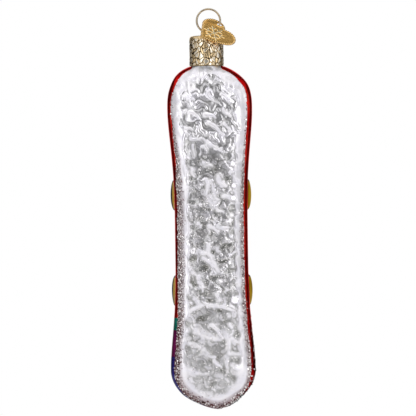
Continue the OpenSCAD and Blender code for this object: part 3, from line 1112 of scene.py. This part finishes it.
def flake_mesh(name, places, facing_out, radii, tilt, darkest):
    """One mesh of thin six-sided plates that lie on the surface at random tilts."""
    count = len(places)
    out = unit(facing_out + draw.normal(0, tilt, (count, 3)))[:, None]
    side = unit(np.cross(out[:, 0], draw.normal(size=(count, 3))))[:, None]
    other = np.cross(out, side)
    turn = (np.arange(flake_sides) * 2 * np.pi / flake_sides)[None, :, None]
    reach = radii[:, None, None]
    under = places[:, None] + (side * np.cos(turn) + other * np.sin(turn)) * reach
    under = under + out * (flake_lift * reach)
    points = np.concatenate([under, under + out * flake_t], 1).reshape(-1, 3)
    one = flake_faces()
    faces = [[flake_points * f + k for k in face] for f in range(count) for face in one]
    piece = add_mesh(name, points, faces, "glass", "silvered_glass")
    piece.data.polygons.foreach_set("use_smooth", np.zeros(len(piece.data.polygons), bool))
    keep_on_points(piece, "shade", np.repeat(draw.uniform(darkest, 1, count), flake_points))
    return piece


def glitter_film():
    """Mirror film in shades from dark wine red to white."""
    material, tree, shader = new_paint("glitter_film")
    shade = spread(tree, point_value(tree, "shade"), 0, 1)
    feed(tree, shader, {
        "Base Color": blend(tree, shade, (0.11, 0.035, 0.034), (0.95, 0.92, 0.92)),
        "Metallic": 1.0,
        "Roughness": spread(tree, grain(tree, 0.3 * mm), 0.12, 0.26)})
    return material


film = glitter_film()
print("a flake has", flake_points, "points and", len(flake_faces()), "faces")

# %% [markdown]
# ## Strew the glitter
# Most of it lies on the wet glue along the edge of the back. The flakes are larger toward the tail
# and darker on its left, and a few stray ones lie on the red of its right side. The rest is a thin
# dusting in the hollows of the panel. A particle system could scatter them, but random draws that
# are weighted by the glue follow it closely and come out the same each time.

# %% Strew the glitter
edge_count = 7200
edge_tilt = 0.55
panel_count = 3600
panel_tilt = 0.45
panel_dark = 0.45
large_from = 92 * mm
large_over = 10 * mm
dim_from = 76 * mm
dim_over = 22 * mm
dim_side = 8 * mm

on_glue = glue ** (1.3 + 0.9 * at_tail) * (1 - 0.6 * at_tail)
on_red = 0.03 * near_tail * lacquered * (flat_x > 0)
edge_places, edge_normals = strew((on_glue + on_red) * on_back, edge_count)
edge_x = edge_places[:, 0]
edge_s = shoulder_z - edge_places[:, 2]
low_down = smooth((edge_s - large_from) / large_over)
edge_r = draw.uniform(0.1, 0.2, edge_count) * (1 + 0.4 * low_down) * mm
dim_share = smooth((edge_s - dim_from) / dim_over) * smooth((dim_side - edge_x) / dim_side)
edge_dark = 0.15 - 0.65 * dim_share
edge_flakes = flake_mesh("edge_glitter", edge_places, edge_normals, edge_r, edge_tilt, edge_dark)

in_hollows = panel * (1 - painted_light_share) * past(25, 20)
panel_places, panel_normals = strew(in_hollows, panel_count)
panel_r = draw.uniform(0.07, 0.14, panel_count) * mm
panel_flakes = flake_mesh("panel_glitter", panel_places, panel_normals, panel_r, panel_tilt, panel_dark)
for flakes in (edge_flakes, panel_flakes):
    flakes.data.materials.append(film)
print("flakes up to", round(2 * edge_r.max() / mm, 2), "mm across")

# %% [markdown]
# ## Leaves for the cap
# The cap is thin gold sheet, pressed in a die with small crowded leaves, and slipped over the neck.
# A plain cylinder with a bump map would stay round at its outline, so the leaves are pushed into
# the wall of the mesh. Each is the ground that lies nearest to one seed, with a seam round it.

# %% Leaves for the cap
cap_h = cap_high.z - cap_low.z
cap_lap = 2 * math.pi * cap_r
leaf_cols = 30
leaf_rows = 7
leaf_w = cap_lap / leaf_cols
leaf_h = cap_h / (leaf_rows - 1)
leaf_curl = 0.35 * mm
leaf_squash = 0.75
leaf_draw = np.random.default_rng(6)


def leaf_cells(turn, up):
    """Room to the nearest seam between pressed leaves, and a tone of its own for each leaf."""
    u = turn * cap_r + leaf_curl * np.sin(7 * turn + up / (0.7 * mm))
    v = up + leaf_curl * np.sin(11 * turn - up / (1.1 * mm))
    first = np.full(u.shape, 1.0)
    second = np.full(u.shape, 1.0)
    own = np.zeros(u.shape)
    for row in range(leaf_rows):
        for col in range(leaf_cols):
            shift_u, shift_v, tone = leaf_draw.uniform((-0.42, -0.42, 0.3), (0.42, 0.42, 1.4))
            seed_u = (col + 0.5 * (row % 2) + shift_u) * leaf_w
            seed_v = (row + shift_v) * leaf_h
            du = (u - seed_u + cap_lap / 2) % cap_lap - cap_lap / 2
            d = np.hypot(du, leaf_squash * (v - seed_v))
            closer = d < first
            second = np.where(closer, first, np.minimum(second, d))
            own = np.where(closer, tone, own)
            first = np.minimum(first, d)
    return second - first, own


print(leaf_rows * leaf_cols, "leaves, each about", round(leaf_w / mm, 1), "mm wide")

# %% [markdown]
# ## The cap's wall and top
# The cap is one skin that runs up the wall, round the shoulder and in over the top, then back along
# the under side and down inside the wall. Every row of points has a radius and a height. The wall's
# radius carries the leaves, and a rolled hem closes its lower edge.

# %% The cap's wall and top
cap_wall = 0.3 * mm
cap_round = 0.9 * mm
cap_cols = 288
wall_rows = 72
bend_rows = 8
top_rows = 25
emboss = 0.13 * mm
emboss_ease = 0.02 * mm
leaf_slope = 0.3 * mm
hem_at = 0.1 * mm
hem_w = 0.25 * mm
plain_foot = 0.3 * mm
plain_head = 0.25 * mm
dish_r = 4.2 * mm
dish_slope = 0.8 * mm
dish_depth = 0.12 * mm
hub_r = 0.25 * mm
inner_gap = 0.12 * mm
inner_drop = 0.3 * mm

turn = np.arange(cap_cols) * 2 * np.pi / cap_cols
wall_up = np.linspace(0, cap_h - cap_round, wall_rows)
up = wall_up[:, None] + 0 * turn
worn = smooth(up / plain_foot) * smooth((cap_h - cap_round - up) / plain_head)
hem = np.exp(-((up - hem_at) / hem_w) ** 2)
seam, leaf_tone = leaf_cells(turn[None, :], up)
leaf = smooth(seam / leaf_slope)
pressed = np.maximum(leaf * worn * (0.5 + 0.5 * np.minimum(leaf_tone, 1)), 0.8 * hem)
skin_r = cap_r - emboss
wall_r = skin_r + (emboss - emboss_ease) * pressed

bend = np.linspace(0, quarter, bend_rows + 1)[1:]
bend_r = (skin_r - cap_round + cap_round * np.cos(bend))[:, None] + 0 * turn
bend_up = (cap_h - cap_round + cap_round * np.sin(bend))[:, None] + 0 * turn
top_r = np.linspace(skin_r - cap_round, hub_r, top_rows + 1)[1:, None] + 0 * turn
top_up = cap_h - dish_depth * smooth((dish_r - top_r) / dish_slope)
under_up = top_up[::-1] - cap_wall
inner_r = np.stack([skin_r - inner_gap + 0 * turn] * 2)
inner_up = np.stack([cap_h - cap_wall - inner_drop + 0 * turn, 0 * turn])
cap_r_grid = np.concatenate([wall_r, bend_r, top_r, top_r[::-1], inner_r])
cap_up_grid = np.concatenate([up, bend_up, top_up, under_up, inner_up])
cap_x, cap_y = cap_r_grid * np.cos(turn), cap_r_grid * np.sin(turn)
cap_points = np.stack([neck_x + cap_x, cap_y, cap_low.z + cap_up_grid], -1)
print("cap", round(2 * cap_r / mm, 2), "mm across,", round(cap_h / mm, 2), "mm high")

# %% [markdown]
# ## Slots through the cap's top
# Each leg of the wire passes through a slot. A boolean cut would do, but leaves slivers in so thin a
# sheet. So the cells of the top whose middles lie in a slot are left out, in the upper skin and in
# the under side, and walls join the two skins round the gap.

# %% Slots through the cap's top
wire_d = 0.65 * mm
leg_gap = 2 * mm
leg_fit = 0.2 * mm
slot_in = leg_gap / 2 - wire_d / 2 - leg_fit
slot_out = bore_r
slot_half = wire_d / 2 + leg_fit
cap_rows = len(cap_points)
top_first = wall_rows + bend_rows
top_last = top_first + top_rows - 1
mirror_row = 2 * top_last + 1


def in_slot(i, j):
    """True where the middle of a cell of the cap's top lies in one of the two slots."""
    r = (top_r[i - top_first, 0] + top_r[i + 1 - top_first, 0]) / 2
    a = turn[j] + math.pi / cap_cols
    return abs(r * math.sin(a)) < slot_half and slot_in < abs(r * math.cos(a)) < slot_out


def cap_face(*corners):
    """Face over corners that are given as row and column, where columns run on round the cap."""
    return [i * cap_cols + j % cap_cols for i, j in corners]


def through(corner):
    """Row and column of the point under this one, on the other side of the top."""
    return mirror_row - corner[0], corner[1]


cut = {(i, j) for i in range(top_first, top_last) for j in range(cap_cols) if in_slot(i, j)}
cap_faces = []
for i in range(cap_rows):
    next_row = (i + 1) % cap_rows
    below = mirror_row - i - 1
    for j in range(cap_cols):
        if i == top_last or (i, j) in cut or (below, j) in cut:
            continue
        cap_faces.append(cap_face((i, j), (i, j + 1), (next_row, j + 1), (next_row, j)))
for i, j in sorted(cut):
    sides = [
        ((i - 1, j), (i, j), (i, j + 1)),
        ((i + 1, j), (i + 1, j + 1), (i + 1, j)),
        ((i, (j - 1) % cap_cols), (i + 1, j), (i, j)),
        ((i, (j + 1) % cap_cols), (i, j + 1), (i + 1, j + 1)),
    ]
    for cell, a, b in sides:
        if cell not in cut:
            cap_faces.append(cap_face(a, b, through(b), through(a)))
top_hub = cap_rows * cap_cols
under_hub = top_hub + 1
hubs = [[neck_x, 0, cap_low.z + top_up[-1, 0]], [neck_x, 0, cap_low.z + under_up[0, 0]]]
for j in range(cap_cols):
    cap_faces.append(cap_face((top_last, j), (top_last, j + 1)) + [top_hub])
    cap_faces.append(cap_face((top_last + 1, j + 1), (top_last + 1, j)) + [under_hub])
cap = add_mesh("cap_finish", np.vstack([cap_points.reshape(-1, 3), hubs]), cap_faces, "cap", "cap_gold")
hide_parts("cap")

# %% [markdown]
# ## Gold
# Cheap gold is bright metal under a warm lacquer. It turns brown in the hollows of a pressed
# pattern, where dirt and lacquer gather, and painted shade darkens those hollows further. The tops
# are pale, partly from wear and partly from a painted highlight. A painted map could hold that,
# but a number on each point, which says how far it is raised, follows the pattern by itself. One
# recipe serves the cap, the wire and the tag.

# %% Gold
def gold_metal(name, hollow_dirt_and_shade, face, top, metallic, rough, grain_size):
    """Lacquered gold with dirt and painted shade in its hollows, and wear and a painted highlight on its
    tops.
    """
    material, tree, shader = new_paint(name)
    raised = point_value(tree, "raised")
    # Hollows take dirt and painted shade, and raised tops take wear and a painted highlight.
    low = blend(tree, spread(tree, raised, 0, 1, 0.0, 0.5), hollow_dirt_and_shade, face)
    colour = blend(tree, spread(tree, raised, 0, 1, 0.55, 0.95), low, top)
    dull = mottled(tree, 1.6 * mm, (0.82, 0.80, 0.76), (1.0, 1.0, 1.0), 4.0)
    feed(tree, shader, {
        "Base Color": blend(tree, 1.0, colour, dull, "MULTIPLY"),
        "Metallic": metallic,
        "Roughness": spread(tree, grain(tree, grain_size), *rough)})
    bump(tree, shader, grain(tree, grain_size, 2.0), 0.02 * mm, 0.4)
    return material


plain_tone = 0.5
hem_tone = 0.4
shade_slope = 0.54 * mm
leaf_shade = smooth(seam / shade_slope) * leaf_tone
wall_tone = np.maximum(leaf_shade * worn, hem_tone * (1 - worn))
other_tone = np.full((cap_rows - wall_rows) * cap_cols + len(hubs), plain_tone)
keep_on_points(cap, "raised", np.concatenate([wall_tone.ravel(), other_tone]))
cap.data.materials.append(gold_metal(
    "cap_gold", hollow_dirt_and_shade=(0.035, 0.02, 0.008), face=(0.96, 0.72, 0.41), top=(1.0, 0.93, 0.8),
    metallic=0.78, rough=(0.1, 0.22), grain_size=0.25 * mm))
print("mean tone of the cap's wall", round(wall_tone.mean(), 2))

# %% [markdown]
# ## The wire's path
# One springy wire is bent to a ring with two legs that grip inside the neck. A hand-drawn curve would
# come close, but the wire has to fit the slots and the tag, so its path is made of the same arcs and
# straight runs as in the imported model.

# %% The wire's path
ring_out_d = 8.4 * mm
wire_ring_r = (ring_out_d - wire_d) / 2
ring_z = wire_d / 2 - wire_ring_r
ring_steps = 150
wire_bend_r = 0.8 * mm
bend_steps = 14
splay_drop = 1.2 * mm
splay_z = cap_high.z - splay_drop
straight_steps = 6
leg_len = 15 * mm
leg_end = cap_high.z - leg_len
leg_reach = bore_r - wire_d / 2 - leg_fit
leg_steps = 24


def leg_path(x, outward_x):
    """Turn at which a leg leaves the ring, and its points in the XZ plane down to the tip."""
    way = 1 if outward_x > x else -1
    bend_x = way * x + wire_bend_r
    drop = math.sqrt((wire_ring_r + wire_bend_r) ** 2 - bend_x ** 2)
    start = math.atan2(drop, bend_x)
    mid_x, mid_z = x + way * wire_bend_r, ring_z - drop
    points = []
    for a in np.linspace(start, 0, bend_steps):
        points.append((mid_x - way * wire_bend_r * math.cos(a), mid_z + wire_bend_r * math.sin(a)))
    for z in np.linspace(mid_z, splay_z, straight_steps)[1:]:
        points.append((x, z))
    for t in np.linspace(0, 1, leg_steps)[1:]:
        points.append((x + (outward_x - x) * t, splay_z + (leg_end - splay_z) * t))
    return start, points


right_start, right_leg = leg_path(neck_x + leg_gap / 2, neck_x + leg_reach)
left_start, left_leg = leg_path(neck_x - leg_gap / 2, neck_x - leg_reach)
ring_turns = np.linspace(-right_start, math.pi + left_start, ring_steps)[1:-1]
ring_path = [(wire_ring_r * math.cos(a), ring_z + wire_ring_r * math.sin(a)) for a in ring_turns]
wire_path = np.array(right_leg[::-1] + ring_path + left_leg)
wire_run = np.linalg.norm(np.diff(wire_path, axis=0), axis=1).sum()
print("wire", round(wire_run / mm), "mm long")

# %% [markdown]
# ## The wire hanger
# Drawn wire is round and smooth, with tips that the cutter leaves a little domed. A curve with a
# bevel would do for the run but not for the tips, so rings of points are swept along the path and
# shrink at both ends.

# %% The wire hanger
dome_steps = 5
dome_start = 0.2


def sweep_wire(path, radius, sides=20):
    """Points and faces of a round tube along a path in the XZ plane, with domed tips."""
    tangent = unit(np.gradient(path, axis=0))
    inward = np.stack([-tangent[:, 1], tangent[:, 0]], -1)
    dome = np.sin(np.linspace(dome_start, quarter, dome_steps))[:-1] * radius
    reach = (np.sqrt(radius ** 2 - dome ** 2) - radius)[:, None]
    first, last = path[0] - tangent[0] * reach, path[-1] + tangent[-1] * reach
    line = np.concatenate([first, path[1:-1], last[::-1]])
    radii = np.concatenate([dome, np.full(len(path) - 2, radius), dome[::-1]])[:, None]
    repeats = np.ones(len(path), int)
    repeats[[0, -1]] = len(dome)
    inward = inward.repeat(repeats, 0)
    turn = np.arange(sides) * 2 * np.pi / sides
    flat = radii * np.cos(turn)
    x = line[:, :1] + inward[:, :1] * flat
    z = line[:, 1:] + inward[:, 1:] * flat
    points = np.stack([x, radii * np.sin(turn), z], -1)
    tips = [[line[0, 0], 0, line[0, 1]], [line[-1, 0], 0, line[-1, 1]]]
    return np.vstack([points.reshape(-1, 3), tips]), ring_faces(len(line), sides)


wire = add_mesh("hanger_wire_finish", *sweep_wire(wire_path, wire_d / 2), "hanger", "wire_gold")
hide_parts("hanger_wire")
keep_on_points(wire, "raised", np.full(len(wire.data.vertices), plain_tone))
wire.data.materials.append(gold_metal(
    "wire_gold", hollow_dirt_and_shade=(0.3, 0.23, 0.15), face=(0.58, 0.49, 0.36), top=(0.8, 0.7, 0.52),
    metallic=1.0, rough=(0.08, 0.2), grain_size=0.5 * mm))

# %% [markdown]
# ## The heart's outline
# The tag is stamped from thin gold sheet: a heart with a beaded edge and a raised snowflake. A heart
# is a square on its corner with a half circle on each upper side. A filled curve would give that
# outline, but no grid to stamp. So points at even steps along it, which also space the beads, are
# repeated in rings that shrink to one point inside.

# %% The heart's outline
lobe_r = 4 * mm
lobe_at = 2 * lobe_r / math.sqrt(8)
tip_y = -2 * lobe_at
tag_core = np.array([0.0, 1.2 * mm])
tag_cols = 420
tag_rings = 46


def heart_outline(count):
    """Points at even steps along a heart: two straight sides and two half-round lobes."""
    straight = 2 * lobe_r
    total = 2 * (straight + math.pi * lobe_r)
    points = []
    for d in np.arange(count) / count * total:
        half = min(d, total - d)
        if half < straight:
            x, y = half * math.sqrt(0.5), tip_y + half * math.sqrt(0.5)
        else:
            a = (half - straight) / lobe_r - math.pi / 4
            x, y = lobe_at + lobe_r * math.cos(a), lobe_at + lobe_r * math.sin(a)
        points.append((x if d < total / 2 else -x, y))
    return np.array(points)


outline = heart_outline(tag_cols)
fraction = np.linspace(0.02, 1, tag_rings)[:, None, None]
tag_xy = tag_core + fraction * (outline - tag_core)[None]
tag_gap = np.full(tag_xy.shape[:2], 1.0)
for edge_point in outline:
    tag_gap = np.minimum(tag_gap, np.hypot(*(tag_xy - edge_point).transpose(2, 0, 1)))
print("heart", round(2 * outline[:, 0].max() / mm, 1), "mm across")

# %% [markdown]
# ## Beads, snowflake and hole
# The stamp lifts the metal, so the pattern is height on that grid: beads along the edge, which is
# nipped in a little between them, the lines of a snowflake, and a collar round the hole. The points
# nearest to the hole's edge are pulled onto a true circle.

# %% Beads, snowflake and hole
tag_t = 0.25 * mm
rim_h = 0.12 * mm
back_h = 0.05 * mm
tag_edge = 0.6 * mm
edge_round = 0.06 * mm
edge_round_w = 0.12 * mm
hole_r = 0.8 * mm
hole_at = np.array([-lobe_at, lobe_at + lobe_r - tag_edge - hole_r])
hole_snap = 0.14 * mm
hole_clear = 0.3 * mm
collar_at = hole_r + 0.25 * mm
collar_w = 0.2 * mm
bead_count = 50
bead_at = 0.36 * mm
bead_w = 0.4 * mm
nip = 0.14 * mm
nip_reach = 0.5 * mm
stamp_flake_r = 3.5 * mm
stamp_flake_y = 0.6 * mm
stamp_line = 0.22 * mm

bead_phase = np.arange(tag_cols) / tag_cols * bead_count
bead_swell = (0.5 - 0.5 * np.cos(2 * np.pi * bead_phase)) ** 2.5
bead = np.clip(1 - ((tag_gap - bead_at) / bead_w) ** 2, 0, 1) * bead_swell[None]
scallop = nip * (1 - np.abs(np.sin(np.pi * bead_phase)))
nipped = smooth(1 - tag_gap / nip_reach) * scallop[None]
tag_xy = tag_xy + nipped[..., None] * unit(tag_core - outline)[None]

twigs = ((0.55, 0.32),)
flake_lines = snowflake(tag_xy[..., 0], tag_xy[..., 1] - stamp_flake_y, stamp_flake_r, twigs)
stamp = np.maximum(np.sqrt(bead), 0.95 * smooth(1.6 - flake_lines / stamp_line))
hole_gap = np.hypot(*(tag_xy - hole_at).transpose(2, 0, 1))
collar = np.exp(-((hole_gap - collar_at) / collar_w) ** 2)
clear_of_hole = smooth((hole_gap - hole_r - hole_clear) / hole_clear)
stamp = np.maximum(stamp * clear_of_hole, 0.5 * collar)
edge_drop = edge_round * smooth(1 - tag_gap / edge_round_w)
face_up = tag_t + rim_h * stamp - edge_drop
back_up = edge_drop + back_h * stamp

next_gap = np.roll(hole_gap, -1, 1)
open_cell = (hole_gap[:-1] + hole_gap[1:] + next_gap[:-1] + next_gap[1:]) / 4 < hole_r
near_hole = np.abs(hole_gap - hole_r) < hole_snap
pull = np.where(near_hole, hole_r / np.maximum(hole_gap, tiny), 1.0)[..., None]
tag_xy = hole_at + (tag_xy - hole_at) * pull
print(bead_count, "beads, and", int(near_hole.sum()), "points pulled to the hole")

# %% [markdown]
# ## The tag in its place
# The face and the back are two grids over the same heart, with walls through the sheet along the
# edge and in the hole. The tag is laid out flat and then seated on the wire, at the point and the
# slant where its joint swings it.

# %% The tag in its place
def on_face(i, j):
    """Number of a point on the tag's face, where columns run on round the heart."""
    return i * tag_cols + j % tag_cols


def on_reverse(i, j):
    """Number of the point behind it, on the tag's back."""
    return tag_rings * tag_cols + on_face(i, j)


def sheet_wall(a, b):
    """Face through the sheet between two points."""
    return [on_face(*a), on_face(*b), on_reverse(*b), on_reverse(*a)]


tag_faces = []
for i in range(tag_rings - 1):
    for j in range(tag_cols):
        if not open_cell[i, j]:
            corners = [(i, j), (i + 1, j), (i + 1, j + 1), (i, j + 1)]
            tag_faces.append([on_face(*c) for c in corners])
            tag_faces.append([on_reverse(*c) for c in corners[::-1]])
            continue
        sides = [
            ((i - 1, j), (i, j + 1), (i, j)),
            ((i + 1, j), (i + 1, j), (i + 1, j + 1)),
            ((i, (j - 1) % tag_cols), (i, j), (i + 1, j)),
            ((i, (j + 1) % tag_cols), (i + 1, j + 1), (i, j + 1)),
        ]
        for cell, a, b in sides:
            if not open_cell[cell]:
                tag_faces.append(sheet_wall(a, b))
face_core = 2 * tag_rings * tag_cols
back_core = face_core + 1
for j in range(tag_cols):
    tag_faces.append(sheet_wall((tag_rings - 1, j + 1), (tag_rings - 1, j)))
    tag_faces.append([on_face(0, j), on_face(0, j + 1), face_core])
    tag_faces.append([on_reverse(0, j + 1), on_reverse(0, j), back_core])
skins = [np.dstack([tag_xy, height]).reshape(-1, 3) for height in (face_up, back_up)]
cores = [[*tag_core, face_up[0, 0]], [*tag_core, back_up[0, 0]]]
flat_points = np.vstack([*skins, cores])

tag_turns = {"Z": -37, "Y": 41, "X": 18}
field_from = 0.45 * mm
field_over = 0.25 * mm
field_tone = 0.5
core_tone = 0.4
swing = next(j for j in frame["joints"] if j["name"] == "tag_swing")
seat = Matrix.Translation(swing["pos_m"])
for axis, degrees in tag_turns.items():
    seat = seat @ Matrix.Rotation(math.radians(degrees), 4, axis)
seat = np.array(seat @ Matrix.Translation((-hole_at[0], -hole_at[1], -tag_t / 2)))
tag_points = flat_points @ seat[:3, :3].T + seat[:3, 3]
tag = add_mesh("heart_tag_finish", tag_points, tag_faces, "tag", "tag_gold")
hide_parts("heart_tag")
field = field_tone * smooth((tag_gap - field_from) / field_over)
raised = np.maximum(stamp, field).ravel()
keep_on_points(tag, "raised", np.concatenate([raised, raised, (core_tone, core_tone)]))
tag.data.materials.append(gold_metal(
    "tag_gold", hollow_dirt_and_shade=(0.16, 0.07, 0.01), face=(1.0, 0.60, 0.18), top=(1.0, 0.88, 0.58),
    metallic=0.75, rough=(0.14, 0.28), grain_size=0.6 * mm))
